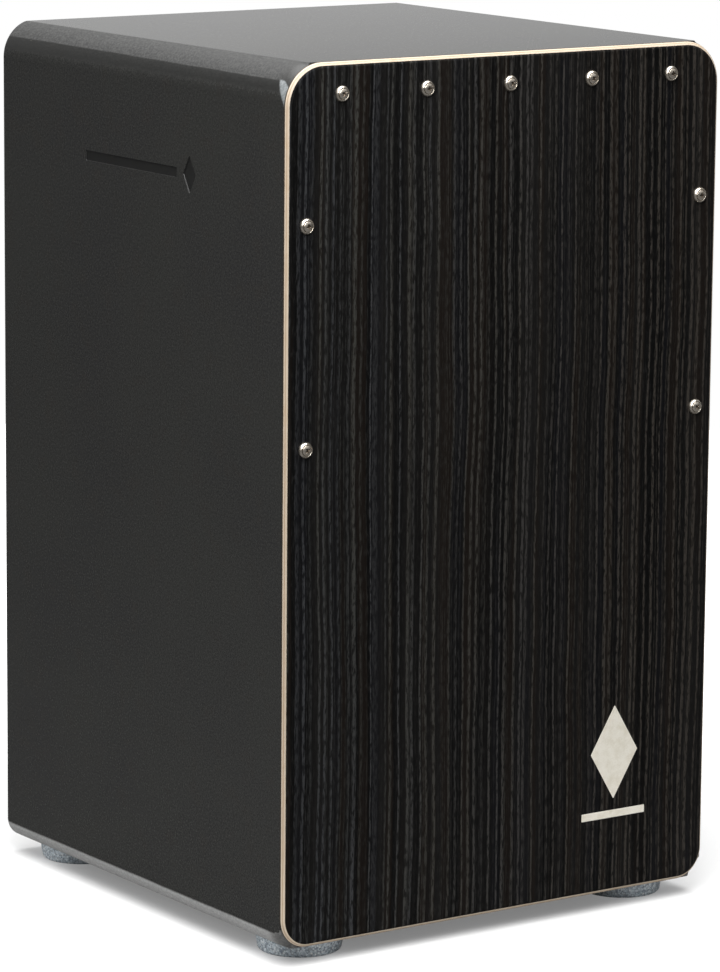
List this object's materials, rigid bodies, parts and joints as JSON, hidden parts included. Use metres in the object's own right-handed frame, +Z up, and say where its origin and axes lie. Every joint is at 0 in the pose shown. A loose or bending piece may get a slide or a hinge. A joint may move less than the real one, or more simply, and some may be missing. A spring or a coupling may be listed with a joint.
{
  "type": "cajon",
  "caption": "Box drum with a black rounded fibreboard body, a striped veneered playing board held by cup-washer screws, a round rear sound hole, rubber feet and adjustable snare wires inside.",
  "frame": {"origin": "centre of the footprint on the plane of the feet, half way between the front screw heads and the back panel", "axes": "+Z up, -Y out of the playing board, +Y out of the sound hole, +X to the right of a person facing the playing board"},
  "size_m": [0.3, 0.3078, 0.5075],
  "materials": {
    "mdf_black": "matt, through-dyed black fibreboard with fine pale fibres",
    "back_black": "matt, through-dyed black fibreboard with fine pale fibres",
    "ply_core": "light birch plies, lacquered edge",
    "fineline_veneer": "dark striped reconstituted veneer, satin lacquer",
    "inlay_cream": "thin cream film, matt",
    "batten_wood": "planed softwood",
    "slat_wood": "planed beech",
    "foot_granulate": "blue-grey bonded rubber granulate",
    "nickel": "bright nickel plate",
    "zinc_steel": "zinc-plated steel",
    "snare_steel": "plain spring steel wire",
    "damper_felt": "pressed wool felt"
  },
  "bodies": {
    "box": {"seat_panel": "mdf_black", "bottom_panel": "mdf_black", "left_side": "mdf_black", "right_side": "mdf_black", "back_panel": "back_black", "tapa_core": "ply_core", "tapa_veneer": "fineline_veneer", "front_inlay": "inlay_cream", "corner_block_top_left": "batten_wood", "corner_block_top_right": "batten_wood", "corner_block_bottom_left": "batten_wood", "corner_block_bottom_right": "batten_wood", "tapa_batten_top": "batten_wood", "tapa_batten_bottom": "batten_wood", "tapa_batten_left": "batten_wood", "tapa_batten_right": "batten_wood", "foot_front_left": "foot_granulate", "foot_front_right": "foot_granulate", "foot_rear_left": "foot_granulate", "foot_rear_right": "foot_granulate", "tapa_washers": "nickel", "tapa_screws": "nickel", "foot_washers": "zinc_steel", "foot_screws": "zinc_steel", "snare_bracket": "zinc_steel", "bracket_screws": "zinc_steel", "pivot_pin": "zinc_steel", "pin_clips": "zinc_steel", "thrust_washers": "zinc_steel"},
    "snare_arm": {"snare_crank": "zinc_steel", "snare_slat": "slat_wood", "slat_bolts": "zinc_steel", "slat_nuts": "zinc_steel", "snare_crossbar": "slat_wood", "crossbar_screws": "zinc_steel", "snare_clip_left": "snare_steel", "snare_clip_right": "snare_steel", "clip_screws": "zinc_steel", "snare_wires_left": "snare_steel", "snare_wires_right": "snare_steel", "wire_felt": "damper_felt"},
    "adjuster": {"adjuster_bolt": "zinc_steel", "adjuster_collar": "zinc_steel", "collar_grub_screw": "zinc_steel"},
    "nut": {"trunnion_nut": "zinc_steel"}
  },
  "joints": [
    {"name": "snare_swing", "type": "hinge", "parent": "box", "child": "snare_arm", "pos_m": [0, -0.09064, 0.0425], "axis": [1, 0, 0], "range_deg": [-2.5, 0]},
    {"name": "nut_travel", "type": "slide", "parent": "box", "child": "nut", "axis": [0, 0, 1], "range_m": [-0.00176, 0]},
    {"name": "adjuster_turn", "type": "hinge", "parent": "box", "child": "adjuster", "pos_m": [0, -0.05064, 0.0425], "axis": [0, 0, 1], "range_deg": [0, 630]}
  ],
  "couplings": [
    {"joint": "nut_travel", "follows": "snare_swing", "m_per_rad": 0.04},
    {"joint": "adjuster_turn", "follows": "snare_swing", "ratio": -251.33}
  ]
}
